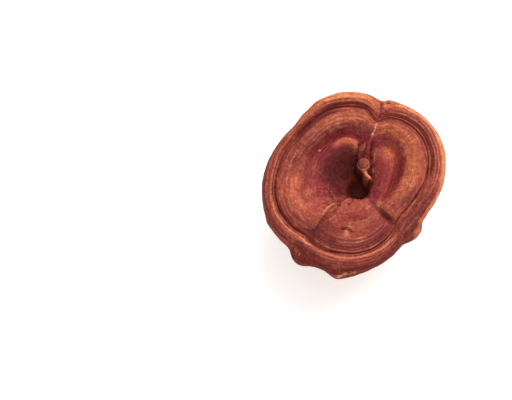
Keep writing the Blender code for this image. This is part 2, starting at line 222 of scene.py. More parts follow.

# Single ridges (rise above 0) and cracks across the crust, each along its own path in the plan:
# (half width, rise, tone, path)
# Strokes with a tone below 0 are mostly painted shade in cracks, creases and at the foot of steps, and pale ones
# partly painted light on ridges.
STROKES = [
    # The seam, from the notch in the margin to the knob, with painted shade in its crease and in the slits beside its
    # cord
    (0.8, -1.1, -0.6, [(18.4, 71.0), (18.2, 65.0), (17.0, 59.0), (15.8, 52.0)]),
    (1.2, 0.7, 0.25, [(21.8, 66.5), (21.0, 61.5), (19.6, 57.0)]),
    (0.4, -0.4, -0.5, [(17.0, 66.5), (18.4, 62.0), (21.0, 59.5), (23.4, 57.4)]),
    (0.9, 0.5, 0.2, [(15.8, 68.0), (16.0, 61.0), (15.4, 54.0)]),
    (0.6, 0.8, 0.85, [(15.4, 50.4), (13.4, 46.2), (11.6, 41.6), (9.6, 36.6)]),
    (0.6, 0.8, 0.45, [(5.2, 36.0), (4.2, 32.0), (3.0, 28.0)]),
    (1.1, -1.4, -0.9, [(1.4, 38.5), (0.8, 32.0), (-0.4, 26.0), (-2.4, 19.0), (-3.4, 13.0)]),
    (1.0, -1.2, -0.8, [(12.4, 38.5), (10.8, 32.0), (9.8, 25.0), (9.8, 18.0), (10.2, 12.0)]),
    # Scraps of skin between the knob and the right fold
    (0.8, 0.9, 0.25, [(7.6, 9.6), (9.2, 10.8), (11.2, 11.8)]),
    (0.4, 0.3, 0.5, [(8.6, 22.0), (9.8, 19.4), (9.8, 16.4), (9.0, 14.6)]),
    (0.4, 0.3, 0.4, [(2.2, 10.6), (3.2, 8.2), (4.2, 5.4)]),
    (0.4, 0.2, 0.35, [(16.0, 31.0), (12.4, 26.5), (11.4, 19.5), (11.2, 12.0), (10.8, 6.0)]),
    (0.8, -0.3, -0.4, [(6.8, 34.0), (5.8, 28.0), (5.0, 22.0)]),
    # Pale lumps outside the seam, with painted shade in the dip beside them
    (1.3, 1.0, 0.6, [(20.6, 70.4), (24.6, 69.4), (28.0, 67.4)]),
    (0.9, 0.7, 0.5, [(27.0, 68.8), (31.0, 66.4), (35.0, 63.6)]),
    (0.8, -0.4, -0.5, [(22.0, 67.2), (26.4, 65.6), (31.0, 63.0)]),
    # The flaky edge of the left lobe, and painted shadow on the step below it
    (0.85, 1.2, 0.7, [(-28.2, -30.0), (-26.8, -26.4), (-24.9, -23.1), (-22.2, -19.8), (-19.1, -18.4), (-16.4, -18.2)]),
    (0.5, 0.4, 0.25, [(-27.0, -28.4), (-30.4, -33.0), (-32.8, -36.1), (-36.6, -41.5)]),
    (1.8, -0.9, -0.32, [(-22.0, -25.4), (-26.4, -31.4), (-30.0, -35.6), (-34.0, -40.4), (-37.2, -43.4)]),
    (0.6, 0.7, 0.22, [(-22.6, -25.4), (-20.4, -22.8), (-18.3, -20.7), (-16.2, -19.2)]),
    (0.5, 0.5, 0.5, [(-23.4, -31.0), (-22.0, -30.0), (-19.6, -28.4), (-16.8, -27.0)]),
    (0.5, 0.3, 0.35, [(-20.4, -33.6), (-19.0, -32.8), (-16.6, -32.4)]),
    (0.5, -0.5, -0.5, [(-20.6, -25.6), (-18.6, -23.2), (-16.4, -21.6)]),
    (0.7, -0.7, -0.7, [(-28.4, -16.2), (-25.6, -17.8), (-22.4, -18.6), (-19.0, -16.6), (-17.0, -16.6)]),
    (0.7, -0.6, -0.6, [(-21.2, -8.2), (-20.2, -12.0), (-19.4, -16.6)]),
    # The tongue over the pit's near edge, with painted shadow below it and in the gap beside it
    (1.3, 2.0, 0.12, [(-15.4, -19.0), (-11.6, -16.4), (-8.2, -13.4), (-5.0, -10.6)]),
    (0.6, -0.6, -0.6, [(-9.6, -19.2), (-7.0, -17.2), (-4.8, -14.4), (-3.2, -11.4)]),
    (0.5, -0.5, -0.5, [(-17.2, -19.6), (-14.6, -18.2), (-11.4, -15.6)]),
    # A pale streak and an arc on the front lobe
    (0.9, 0.2, 0.35, [(4.6, -22.6), (7.4, -20.4), (10.4, -18.6)]),
    (0.5, 0.3, 0.25, [(-9.6, -33.2), (-4.6, -33.4), (1.0, -32.4), (6.4, -30.6), (11.0, -27.8)]),
    (0.5, -0.3, -0.3, [(-7.0, -31.4), (-1.0, -31.2), (5.0, -29.2), (10.0, -26.2)]),
    # The pimple on the front lobe, and the crack above it painted dark as shade
    (0.6, -0.9, -1.1, [(-15.5, -38.4), (-11.8, -37.9), (-9.2, -37.8), (-6.4, -39.2), (-3.8, -41.0)]),
    (0.5, -0.6, -0.5, [(-13.2, -40.4), (-11.8, -38.6)]),
    (0.8, 0.4, 0.25, [(-13.4, -35.4), (-9.4, -35.0), (-5.4, -36.6), (-2.6, -39.2)]),
    (1.5, 1.7, 0.6, [(-9.8, -38.8), (-9.8, -41.6), (-10.2, -46.4)]),
    (0.6, 0.4, 0.4, [(-10.4, -41.0), (-12.4, -43.4), (-12.8, -46.0)]),
    (0.6, 0.4, 0.35, [(-9.0, -41.4), (-7.2, -43.6), (-6.8, -46.6)]),
    # The end of the right lobe: its lit edge, and painted shadow on the step below it
    (0.7, 0.5, 0.35, [(15.8, -18.2), (18.7, -21.4), (22.9, -26.0), (28.6, -31.0)]),
    (1.6, -0.8, -0.35, [(12.6, -18.0), (15.6, -22.6), (19.4, -27.2), (24.0, -31.2), (28.4, -34.4)]),
    (0.5, -0.4, -0.4, [(8.6, -13.6), (10.8, -15.8), (12.6, -18.2)]),
    # The dented facet at the lower left of the rim
    (0.7, 0.6, 0.8, [(-45.6, -46.4), (-43.0, -48.2), (-39.6, -50.4), (-35.0, -53.2)]),
    (0.5, -0.3, -0.5, [(-47.6, -49.6), (-50.0, -55.6), (-50.6, -61.6), (-47.4, -66.6)]),
    (0.4, 0.25, 0.15, [(-36.6, -55.4), (-39.6, -60.0), (-42.6, -65.0)]),
    (0.4, 0.2, 0.2, [(-40.0, -53.0), (-44.4, -58.6), (-47.0, -64.6)]),
    # The creased tip at the front, and the nub at the lower right, with painted shade in the crease and in the groove
    # beside the nub
    (0.6, 0.5, 1.1, [(-17.0, -76.4), (-14.2, -75.6), (-11.6, -74.8), (-8.0, -73.8)]),
    (0.35, 0.4, 0.5, [(-12.0, -76.0), (-6.6, -74.4), (-1.0, -72.6)]),
    (0.5, -0.5, -0.5, [(-15.0, -73.2), (-9.6, -72.6), (-2.6, -71.0)]),
        (1.3, -0.9, -0.6, [(37.6, -45.4), (41.2, -39.6), (44.8, -32.6)]),
]

# Round spots: (x, y, radius, rise, tone). A sunk spot with a tone below 0 has painted shade in its dent.
SPOTS = [
    (-30.6, 29.2, 0.6, 0.4, 1.3), (16.4, -16.4, 2.0, 1.2, 0.35), (15.3, -18.8, 0.5, 0.3, 1.0),
    (-42.6, -58.0, 8.0, -0.7, 0.0), (0.4, 22.6, 1.0, 0.5, 0.2), (-41.0, -47.8, 1.2, 0.3, 0.3),
    (44.6, -38.6, 3.6, 0.5, 0.0), (20.2, 67.6, 1.1, 0.9, 0.6), (26.0, 66.2, 1.3, 1.0, 0.6),
    (29.0, 64.4, 1.0, 0.8, 0.45), (36.0, 61.0, 1.2, 0.6, 0.4), (23.2, 66.2, 1.0, -0.7, -0.7),
    (31.0, 65.4, 0.9, -0.6, -0.5), (32.4, 62.8, 1.0, 0.6, 0.3), (20.7, 61.0, 1.6, 1.0, 0.25),
]

# Washes of colour along the contours: (layer, measured by, values where it begins, is full, still
# is full and is gone, (from angle, to angle, softness), strength). A share runs across the plateau
# from 0 at the shelf to 1 at the groove, and "outside" is the distance outside the groove.
BANDS = [
    # Duller stretches of the plateau and the rim, with painted shade on the rim's outer side away from the light
    ("dull_and_shade", "share", (0.1, 0.3, 0.9, 1.02), (118, 172, 24), 0.6),
    ("dull_and_shade", "share", (0.0, 0.4, 0.97, 1.04), (198, 229, 14), 0.65),
    ("dull_and_shade", "share", (0.2, 0.5, 0.95, 1.05), (328, 350, 16), 1.0),
    ("dull_and_shade", "share", (0.2, 0.45, 0.97, 1.05), (231, 306, 8), 0.65),
    ("dull_and_shade", "share", (-0.25, -0.1, 0.14, 0.32), (74, 156, 20), 0.85),
    ("dull_and_shade", "share", (-0.4, -0.1, 0.5, 0.7), (231, 250, 8), 0.5),
    ("plum", "share", (-0.4, -0.1, 0.8, 1.0), (278, 306, 14), 0.5),
    ("dull_and_shade", "outside", (0.5, 3.0, 30.0, 40.0), (296, 352, 20), 0.6),
    ("dull_and_shade", "outside", (6.5, 9.0, 30.0, 40.0), (150, 345, 40), 0.7),
    ("dull_and_shade", "outside", (0.5, 2.0, 6.0, 9.0), (120, 200, 30), 0.3),
    ("umber_and_shade", "outside", (6.0, 8.0, 30.0, 40.0), (227, 246, 6), 0.7),
    ("umber_and_shade", "outside", (9.0, 13.0, 30.0, 40.0), (240, 300, 20), 0.85),
    # The furrows beside the rolled rim, darker in their own colour and with painted shade on the slopes that face away
    # from the light
    ("umber_and_shade", "outside", (1.2, 2.4, 5.2, 6.6), (4, 68, 16), 0.85),
    ("umber_and_shade", "outside", (0.8, 1.8, 4.6, 6.0), (76, 122, 20), 0.9),
    ("umber_and_shade", "outside", (-3.6, -2.2, 1.4, 3.2), (106, 140, 14), 0.75),
    ("umber_and_shade", "outside", (-5.5, -4.0, -0.5, 0.5), (196, 236, 16), 0.45),
    ("umber_and_shade", "outside", (-6.6, -5.6, -3.6, -2.6), (228, 300, 16), 0.45),
    # The pale growing edge of the rim, laid only on the sides that face the light, so that it is also painted light
    ("pale_rim_and_light", "outside", (5.8, 8.6, 12.6, 15.6), (80, 114, 18), 0.95),
    ("pale_rim_and_light", "outside", (10.0, 11.6, 13.6, 16.6), (2, 68, 24), 0.95),
    ("pale_rim_and_light", "outside", (12.0, 12.8, 14.2, 16.6), (-38, 10, 20), 0.8),
    ("pale_rim_and_light", "outside", (3.0, 5.0, 8.0, 12.0), (112, 146, 20), 0.25),
    # Purple hollows and slopes, with painted shade in the fold's creases and on the slopes down into the pit
    ("plum", "station", (5.8, 6.6, 7.4, 8.2), (-6, 66, 30), 0.9),
    ("plum", "station", (5.8, 6.6, 7.4, 8.3), (80, 198, 30), 0.72),
    ("plum", "station", (3.4, 4.2, 5.6, 6.4), (104, 200, 24), 1.0),
    ("plum", "station", (2.4, 3.0, 5.4, 6.4), (-62, 60, 14), 0.8),
    ("plum", "station", (2.6, 3.4, 7.4, 8.6), (60, 88, 12), 0.5),
    ("umber_and_shade", "station", (6.5, 6.85, 7.1, 7.4), (-50, 62, 12), 0.8),
    ("umber_and_shade", "station", (6.4, 6.8, 7.15, 7.6), (84, 172, 12), 0.12),
    ("painted_shade", "station", (2.0, 2.6, 3.9, 5.3), (84, 208, 36), 1.0),
    # Warmer rings round the hollows, with the orange partly painted light on the swelling's lit crest
    ("ochre", "share", (-0.2, 0.05, 0.4, 0.75), (-24, 70, 20), 0.9),
    ("ochre", "share", (0.12, 0.3, 0.55, 0.85), (76, 124, 20), 0.6),
    ("orange_and_light", "share", (-0.35, -0.05, 0.25, 0.5), (174, 212, 24), 0.9),
    ("orange_and_light", "station", (4.7, 5.1, 5.7, 6.2), (88, 120, 12), 0.85),
    ("flesh", "outside", (2.4, 3.4, 5.2, 6.4), (236, 300, 14), 0.5),
]

# Round and long washes: (layer, x, y, half length, half width, direction, strength). The orange ones are partly
# painted light on the lit tops of the fold, the swelling, the pimple and the lower right nub. The dark ones and most
# umber ones are painted shade beside the knob and the seam, below the right lobe, in the dented facet and on the
# slopes into the pit.
BLOBS = [
    ("orange_and_light", 22.6, 25.4, 6.0, 5.6, 75, 1.5), ("orange_and_light", 26.6, 15.0, 9.0, 3.0, 80, 0.25),
    ("orange_and_light", -9.0, 37.0, 6.0, 3.4, 10, 0.5), ("ochre", -38.4, -8.4, 3.6, 2.8, 60, 1.0),
    ("ochre", -33.0, 15.0, 4.0, 3.0, 60, 0.3), ("crimson", -2.8, -28.0, 9.5, 3.8, 5, 0.7),
    ("dull_and_shade", -1.0, -37.0, 14.0, 6.0, 5, 0.25), ("flesh", -31.0, -20.0, 7.0, 4.6, 40, 0.4),
    ("painted_shade", -22.0, -6.0, 8.0, 5.0, 20, 0.25), ("painted_shade", -14.6, -14.6, 5.0, 2.2, 42, 0.8),
    ("dull_and_shade", -26.0, -37.0, 6.0, 7.0, 60, 0.4), ("dull_and_shade", -35.0, -43.0, 7.0, 3.6, 45, 0.7), ("dull_and_shade", 17.0, -38.0, 8.0, 6.0, 0, 0.2),
    ("painted_shade", -8.0, 20.0, 9.0, 6.0, 110, 0.5), ("orange_and_light", -9.8, -42.4, 3.4, 1.4, 85, 0.9),
    ("pale_rim_and_light", -41.6, -48.4, 3.6, 1.5, -32, 0.9), ("umber_and_shade", -41.6, -58.6, 6.0, 8.5, 20, 1.2), ("painted_shade", -43.0, -58.6, 4.6, 7.4, 20, 0.45), ("orange_and_light", 44.0, -40.6, 4.0, 2.6, 55, 1.0),
    ("painted_shade", 19.6, -26.8, 9.6, 2.0, -46, 0.9), ("umber_and_shade", 5.0, 25.6, 4.6, 3.2, 90, 0.8), ("umber_and_shade", 19.8, 56.4, 5.0, 2.4, 28, 1.1),
    ("flesh", -30.0, -1.0, 4.0, 5.0, 30, 0.4), ("crimson", -21.6, -5.0, 4.0, 3.4, 20, 0.4),
]


# Shape


def smooth(t):
    t = np.clip(t, 0, 1)
    return t * t * (3 - 2 * t)


def bell(away, half_width):
    return np.exp(-((away / half_width) ** 2))


def between(value, start, end):
    """Rises smoothly from 0 at start to 1 at end."""
    return smooth((value - start) / (end - start))


def band(value, rise, full, fall, gone):
    """Rises from 0 to 1 between the first two values and falls back between the last two."""
    return between(value, rise, full) * (1 - between(value, fall, gone))


def sector(angle, start, end, soft=10.0):
    """1 between two angles and 0 elsewhere, with soft edges."""
    half = (end - start) / 2
    away = np.abs((angle - start - half + 180) % 360 - 180)
    return 1 - between(away, half - soft / 2, half + soft / 2)


def ring(points, angles):
    """Values round a closed contour through (angle, value) points, with its corners rounded."""
    at, value = np.array(points, float).T
    shifts = np.linspace(-BLUR, BLUR, 7)
    weights = np.cos(shifts / BLUR * np.pi / 2.6)
    total = sum(w * np.interp(angles + s, at, value, period=360) for s, w in zip(shifts, weights))
    return total / weights.sum()


def contour(points, angles):
    """The radii and heights of a contour at the given angles."""
    radii = ring([(angle, radius) for angle, radius, height in points], angles)
    heights = ring([(angle, height) for angle, radius, height in points], angles)
    return radii, heights


def circle(radius, height, angles):
    return np.full_like(angles, radius), np.full_like(angles, height)


def part_way(first, second, shares):
    """A contour between two others, at a share of their distance and of their step in height."""
    return tuple(a + share * (b - a) for a, b, share in zip(first, second, shares))


def cap_contours(angles):
    """Every contour of the cap, from the pit's centre out and round to the middle of the joint."""
    margin = ring(MARGIN, angles)
    groove = ring(GROOVE, angles)
    plateau = ring(PLATEAU_HEIGHT, angles)
    thickness = RIM_THICKNESS * (1 - FRONT_EXTRA * np.sin(np.radians(angles)))
    crest = CREST_SHARE + CREST_SWING * np.cos(np.radians(angles - CREST_SWING_ANGLE))
    mouth, fold, crease = (contour(points, angles) for points in (MOUTH, FOLD, CREASE))
    contours = [circle(0.0, -PIT_DEPTH, angles), contour(FLOOR, angles), contour(WALL, angles)]
    contours += [mouth, part_way(mouth, fold, FOLD_INSIDE), fold]
    contours += [part_way(fold, crease, FOLD_OUTSIDE), crease, contour(SHELF, angles)]
    shelf = contours[-1][0]
    for share, depth in PLATEAU_SECTION:
        contours.append((shelf + share * (groove - shelf), plateau - depth))
    contours.append((groove, SINK_OF_GROOVE * np.minimum(0, plateau + 1) - GROOVE_DEPTH))
    for share, drop in RIM_INNER + [(crest, 0.0)] + RIM_OUTER:
        contours.append((groove + share * (margin - groove), -drop * thickness))
    for share, depth in UNDER_SECTION:
        contours.append((share * groove, -thickness - depth))
    contours += [circle(radius, height, angles) for radius, height in FUNNEL]
    contours.append(circle(0.0, JOINT_HEIGHT - RIM_HEIGHT, angles))
    return contours


def loft(values, station):
    """Smooth values between contours, which never swing past the contours' own."""
    values = np.array(values)
    step = np.diff(values, axis=0)
    before, after = step[:-1], step[1:]
    same_way = before * after > 0
    slope = np.zeros_like(values)
    slope[1:-1][same_way] = 2 * (before * after)[same_way] / (before + after)[same_way]
    slope[0], slope[-1] = step[0], step[-1]
    first = np.minimum(station.astype(int), len(step) - 1)
    column = np.arange(len(station))
    start, end = values[first, column], values[first + 1, column]
    leaving, arriving = slope[first, column], slope[first + 1, column]
    t = station - first
    return start + (end - start) * smooth(t) + t * (1 - t) * ((1 - t) * leaving - t * arriving)


def spindle(name, rows, steps):
    """A turned blank whose height counts off the contours, from 0 at its upper end downwards."""
    stations = [first + i / count for first, count in enumerate(rows) for i in range(count)]
    stations.append(len(rows))
    ends = (0, len(stations) - 1)
    points = [(0.0 if i in ends else 1.0, 0.0, -station) for i, station in enumerate(stations)]
    profile = bpy.data.meshes.new(name + "_profile")
    profile.from_pydata(points, [(i, i + 1) for i in range(ends[1])], [])
    blank = bpy.data.objects.new(name, profile)
    bpy.context.scene.collection.objects.link(blank)
    screw = blank.modifiers.new("turn", "SCREW")
    screw.steps = steps
    screw.render_steps = steps
    screw.use_merge_vertices = True
    screw.merge_threshold = 0.0001
    bpy.context.view_layer.update()
    turned = blank.evaluated_get(bpy.context.evaluated_depsgraph_get())
    blank.data = bpy.data.meshes.new_from_object(turned)
    blank.modifiers.clear()
    bpy.data.meshes.remove(profile)
    return blank


def positions(mesh):
    points = np.empty(3 * len(mesh.vertices), np.float32)
    mesh.vertices.foreach_get("co", points)
    return points.reshape(-1, 3).astype(float)


def stations_and_angles(mesh):
    """Where each vertex of a blank belongs: its place along the contours, and round them."""
    x, y, z = positions(mesh).T
    return -z, np.degrees(np.arctan2(y, x)) % 360


def place(mesh, points):
    mesh.vertices.foreach_set("co", (points * MM).ravel())
    mesh.update()
    mesh.shade_smooth()


def raise_skin(mesh, points, relief):
    """Moves each vertex along its normal by its relief, in millimetres."""
    normals = np.empty(3 * len(mesh.vertices), np.float32)
    mesh.vertices.foreach_get("normal", normals)
    place(mesh, points + normals.reshape(-1, 3) * relief[:, None])


def paint(mesh, name, values):
    """Keeps a mask, or a place to read a texture at, on the mesh for its material."""
    kind, key = ("FLOAT", "value") if values.ndim == 1 else ("FLOAT_VECTOR", "vector")
    layer = mesh.attributes.new(name, kind, "POINT")
    layer.data.foreach_set(key, values.astype(np.float32).ravel())


def along_path(x, y, path):
    """How far each point of the plan is from a path of (x, y) points, and how far along it."""
    lengths = [np.hypot(x1 - x0, y1 - y0) for (x0, y0), (x1, y1) in zip(path, path[1:])]
    best = np.full_like(x, 1e9)
    place_along = np.zeros_like(x)
    done = 0.0
    for (x0, y0), (x1, y1), length in zip(path, path[1:], lengths):
        t = np.clip(((x - x0) * (x1 - x0) + (y - y0) * (y1 - y0)) / length ** 2, 0, 1)
        away = np.hypot(x - x0 - t * (x1 - x0), y - y0 - t * (y1 - y0))
        place_along = np.where(away < best, (done + t * length) / sum(lengths), place_along)
        best = np.minimum(best, away)
        done += length
    return best, place_along


def stroke(x, y, path, half_width):
    """A line along a path that fades out at both ends."""
    away, along = along_path(x, y, path)
    return bell(away, half_width) * smooth(5 * np.minimum(along, 1 - along))


def seam_lift(x, y):
    away, along = along_path(x, y, [point[:2] for point in SEAM])
    height = np.interp(along, np.linspace(0, 1, len(SEAM)), [point[2] for point in SEAM])
    return height * bell(away, SEAM_HALF_WIDTH)


def knob_lift(x, y, z):
    away = np.hypot(x - KNOB_PLACE[0], y - KNOB_PLACE[1]) / KNOB_RADIUS
    crown = KNOB_TOP - KNOB_FALL * away ** 2
    full, gone = KNOB_REACH
    return smooth((gone - away) / (gone - full)) * np.maximum(crown - z, 0)


def flap_lift(x, y, z):
    away, along = along_path(x, y, FLAP)
    return smooth(1.7 - away / FLAP_HALF_WIDTH) * np.maximum(FLAP_TOP - z, 0)


LATTICE = np.random.default_rng(11).random((48, 48, 48))


def noise(points, size, shift=0.0):
    """Smooth random values from -1 to 1, in lumps about size across."""
    place_in = points / size + shift
    cell = np.floor(place_in).astype(int)
    t = smooth(place_in - cell)
    total = np.zeros(len(points))
    for corner in product((0, 1), repeat=3):
        share = np.prod(np.where(corner, t, 1 - t), axis=1)
        i, j, k = ((cell + corner) % len(LATTICE)).T
        total += share * LATTICE[i, j, k]
    return 2 * total - 1


def rim_lines(angle, outside, wander):
    """The tones of the ridges and furrows along the rim."""
    tone = np.zeros_like(angle)
    for start, end, first, last, half_width, strength in RIM_LINES:
        along = ((angle - (start + end) / 2 + 180) % 360 - 180) / (end - start) + 0.5
        away = outside + 0.3 * wander - first - (last - first) * np.clip(along, 0, 1)
        tone += strength * bell(away, half_width) * sector(angle, start, end)
    return tone


def washes(measures, angle, x, y, ragged):
    """How strongly each layer of colour lies on each vertex."""
    layers = {name: np.zeros_like(x) for name, tint in CRUST_LAYERS}
    for name, measure, limits, arc, strength in BANDS:
        layers[name] += strength * band(measures[measure], *limits) * sector(angle, *arc)
    for name, at_x, at_y, half_length, half_width, direction, strength in BLOBS:
        turn = np.radians(direction)
        along = (x - at_x) * np.cos(turn) + (y - at_y) * np.sin(turn)
        across = (y - at_y) * np.cos(turn) - (x - at_x) * np.sin(turn)
        layers[name] += strength * bell(np.hypot(along / half_length, across / half_width), 1.0)
    return {name: values * (1 + 0.25 * ragged) for name, values in layers.items()}


def build_cap():
    cap = spindle("reishi_cap", CAP_ROWS, CAP_STEPS)
    mesh = cap.data
    station, angle = stations_and_angles(mesh)
    contours = cap_contours(angle)
    radius = loft([radii for radii, heights in contours], station)
    z = loft([heights for radii, heights in contours], station)
    for middle, half_width, inwards in LIP_BULGES:
        radius -= inwards * bell(angle - middle, half_width) * band(station, 1.4, 2.5, 3.2, 4.4)
    turn = np.radians(angle)
    x, y = radius * np.cos(turn), radius * np.sin(turn)
    inside_rim = station < GROOVE_AT
    z += np.where(inside_rim, seam_lift(x, y), 0)
    z += np.where(inside_rim, knob_lift(x, y, z), 0)
    z += np.where(inside_rim, flap_lift(x, y, z), 0)
    points = np.column_stack([x, y, z])
    place(mesh, points)

    # Places to measure from, with a little wander so that nothing runs quite true
    shelf, groove = contours[SHELF_AT][0], contours[GROOVE_AT][0]
    outside = radius - groove
    share = (radius - shelf) / (groove - shelf)
    across = np.where(outside > 0, outside, PLATEAU_WIDTH * (share - 1))
    across -= z * between(station, CREST_AT, CREST_AT + 0.5)
    fibre_place = np.column_stack([60 * np.cos(turn), 60 * np.sin(turn), radius / 7])
    ring_place = np.column_stack([across, 7 * np.cos(turn), 7 * np.sin(turn)])
    round_cap = np.column_stack([60 * np.cos(turn), 60 * np.sin(turn), 0 * turn])
    wander = noise(round_cap, 14.0) + 0.5 * noise(round_cap, 5.0, 7.3)
    ragged = noise(points, 3.6, 4.4) + 0.6 * noise(points, 1.7, 9.1)

    upper = 1 - between(station, 16.4, 17.4)
    top = 1 - between(station, 15.7, 16.3)
    crust = between(station, 2.5, 3.5) * upper
    plateau = band(station, 7.4, 8.2, 10.6, 11.0)
    rim = between(station, 10.9, 11.3) * upper
    folds = band(station, 2.4, 3.0, 7.0, 7.6)
    inside = band(station, 0.8, 1.3, 7.0, 7.6)

    # Ridges, furrows, strokes and spots change the height and the tone together. The tone is the crust's own
    # pale and dark marks, with painted light on ridges and painted shade in furrows, cracks and at the foot of steps.
    tone = rim_lines(angle, outside, wander) * top * between(station, 7.6, 8.4)
    relief = 0.5 * tone
    warped = [value + 0.45 * noise(points, 2.2, seed) + 0.25 * noise(points, 1.1, 2 * seed)
              for value, seed in ((x, 1.7), (y, 6.1))]
    flaky = 1 + 0.35 * noise(points, 1.6, 12.0)
    for half_width, rise, strength, path in STROKES:
        mark = stroke(*warped, path, half_width) * flaky * top
        tone += strength * mark
        relief += rise * mark
    for spot_x, spot_y, size, rise, strength in SPOTS:
        mark = bell(np.hypot(x - spot_x, y - spot_y), size) * top
        tone += strength * mark
        relief += rise * mark

    # The knob's pale lip, and the shadow round it
    away = np.hypot(x - KNOB_PLACE[0], y - KNOB_PLACE[1])
    below = between(y, KNOB_PLACE[1] + 3.0, KNOB_PLACE[1] - 1.0)
    tone += inside * (0.45 * bell(away - 4.6, 0.45) + 0.15 * bell(away - 2.6, 0.4))
    flap = inside * stroke(x, y, FLAP, FLAP_HALF_WIDTH)
    tone -= inside * bell(away - 6.6, 1.3) * (0.3 + 0.5 * below) * (1 - flap)
    tone += 0.7 * flap

    # Growth rings all over the upper side, and radial dashes round the hollows
    rings = noise(ring_place, 1.3, 2.0) + 0.6 * noise(ring_place, 0.7, 9.0)
    relief += rings * (0.12 * plateau + 0.16 * rim + 0.05 * folds)
    tone += rings * (0.18 * plateau + 0.14 * rim + 0.05 * folds)
    dashes = band(share, -0.35, -0.1, 0.5, 0.85) * sector(angle, -40, 60, 16)
    dashes += 0.5 * band(share, -0.3, 0.0, 0.4, 0.8) * sector(angle, 78, 200, 16)
    dashes *= noise(fibre_place, 1.5, 21.0)
    relief += 0.10 * dashes
    tone += 0.2 * dashes

    # Low lumps, and the blistered patch left of the pit
    lumps = 0.30 * noise(points, 8.0) + 0.16 * noise(points, 3.4, 5.0) + 0.07 * noise(points, 1.7)
    blisters = bell(np.hypot((x + 26.5) / 9.5, (y + 6.0) / 6.5), 1.0) * folds
    relief += crust * lumps
    relief += blisters * (0.7 * noise(points, 2.6, 3.0) + 0.35 * noise(points, 1.3, 8.0))
    # Pink glints painted on the blisters as highlights, with crimson between them
    blister_glints = blisters * (noise(points, 1.3, 8.0) + 0.6 * noise(points, 2.6, 3.0))
    tone += 0.10 * crust * ragged * (1 - 0.7 * folds)
    relief += 0.3 * (1 - upper) * noise(points, 12.0, 2.0)
    neck = between(station + 0.25 * ragged, 20.2, 20.9)
    knots, furrows = stem_grain(points + (*PIT_AXIS, RIM_HEIGHT))
    relief += neck * (0.32 * knots + 0.22 * furrows)
    # Painted light on the neck's knots and painted shade in its furrows, as on the stem
    tone += neck * (0.35 * knots + 0.4 * furrows)
    relief *= 1 - between(station, 22.9, 23.0)
    raise_skin(mesh, points, relief)

    measures = {"station": station, "share": share + 0.05 * ragged, "outside": outside + 0.3 * wander}
    layers = washes(measures, angle, x, y, ragged)
    layers["flesh"] += 1.3 * blister_glints + 2 * flap
    layers["crimson"] -= 1.3 * blister_glints
    # The pale and shade layers take the tone: pale marks with painted light on ridges, dark lines with painted shade
    # in furrows and cracks
    layers.update(pale=tone, shade=-tone, pit=1 - between(station, 1.6, 3.2))
    layers["pale"] *= 1 - 0.7 * np.clip(layers["painted_shade"], 0, 1) * (tone < 0.3)
    layers = {name: np.clip(values, 0, 1) * np.maximum(upper, neck) for name, values in layers.items()}
    layers.update(pores=band(station, 16.9, 17.5, 30, 31), neck=neck, wet=np.maximum(blisters, neck))
    for name, values in layers.items():
        paint(mesh, name, values)
    paint(mesh, "fibre_place", fibre_place)
    paint(mesh, "ring_place", ring_place)
    cap.location = (PIT_AXIS[0] * MM, PIT_AXIS[1] * MM, RIM_HEIGHT * MM)
    return cap


def stem_grain(points):
    """Knots and long furrows, which run on from the stem to the neck of the cap."""
    sideways = 3 * noise(points, 9.0)[:, None] * (0.2, 0.2, 0)
    furrows = noise(points * (1, 1, 0.22) + sideways, 1.6, 4.0)
    knots = noise(points, 5.0) + 0.5 * noise(points, 2.4, 8.0)
    return knots, furrows


def build_stem():
    stem = spindle("reishi_stem", STEM_ROWS, STEM_STEPS)
    station, angle = stations_and_angles(stem.data)
    section = [circle(radius, height, angle) for height, radius in STEM_SECTION]
    radius = loft([radii for radii, heights in section], station)
    z = loft([heights for radii, heights in section], station)
    turn = np.radians(angle)
    rise = z / STEM_TOP
    oval = STEM_FLATS * np.cos(2 * turn + 0.6)
    ribs = STEM_RIBS * np.cos(5 * turn + 4 * rise)
    radius *= 1 + np.sin(np.pi * rise) * (oval + ribs)
    x = radius * np.cos(turn) + PIT_AXIS[0] * smooth(rise)
    y = radius * np.sin(turn) + PIT_AXIS[1] * smooth(rise)
    points = np.column_stack([x, y, z])
    place(stem.data, points)

    side = between(station, 1.0, 1.03) * (1 - between(station, 4.8, 5.0))
    cut = between(station, 4.95, 5.1)
    knots, furrows = stem_grain(points)
    relief = side * (0.32 * knots + 0.22 * furrows) + 0.15 * cut * noise(points, 1.3, 5.0)
    raise_skin(stem.data, points, relief)
    rings = np.sin(2 * radius + noise(points, 5.0, 3.0)) + noise(points, 2.0, 7.0)
    # The tone follows the relief: painted light on the knots and painted shade in the furrows, and growth rings on the
    # cut face
    tone = side * (0.35 * knots + 0.4 * furrows) + 0.3 * cut * rings
    for name, values in (("pale", tone), ("shade", -tone), ("cut", cut), ("wet", side)):
        paint(stem.data, name, np.clip(values, 0, 1))
    return stem


# Materials


def srgb(red, green, blue):
    """A colour as read off a picture, from 0 to 255, as the linear values that shaders take."""
    shares = [value / 255 for value in (red, green, blue)]
    linear = [c / 12.92 if c <= 0.04045 else ((c + 0.055) / 1.055) ** 2.4 for c in shares]
    return (*linear, 1.0)


def seen(red, green, blue):
    """The colour of a level surface that looks like this one under the scene's lights."""
    return (*(value / LIGHT_ON_TOP for value in srgb(red, green, blue)[:3]), 1.0)


def add_node(tree, kind, inputs=None, **settings):
    """A new node, with its settings, and its inputs set or linked by name or number."""
    node = tree.nodes.new(kind)
    for name, value in settings.items():
        setattr(node, name, value)
    for name, value in (inputs or {}).items():
        if isinstance(value, bpy.types.NodeSocket):
            tree.links.new(value, node.inputs[name])
        else:
            node.inputs[name].default_value = value
    return node


def new_material(name):
    material = bpy.data.materials.new(name)
    material.use_nodes = True
    return material, material.node_tree, material.node_tree.nodes["Principled BSDF"]


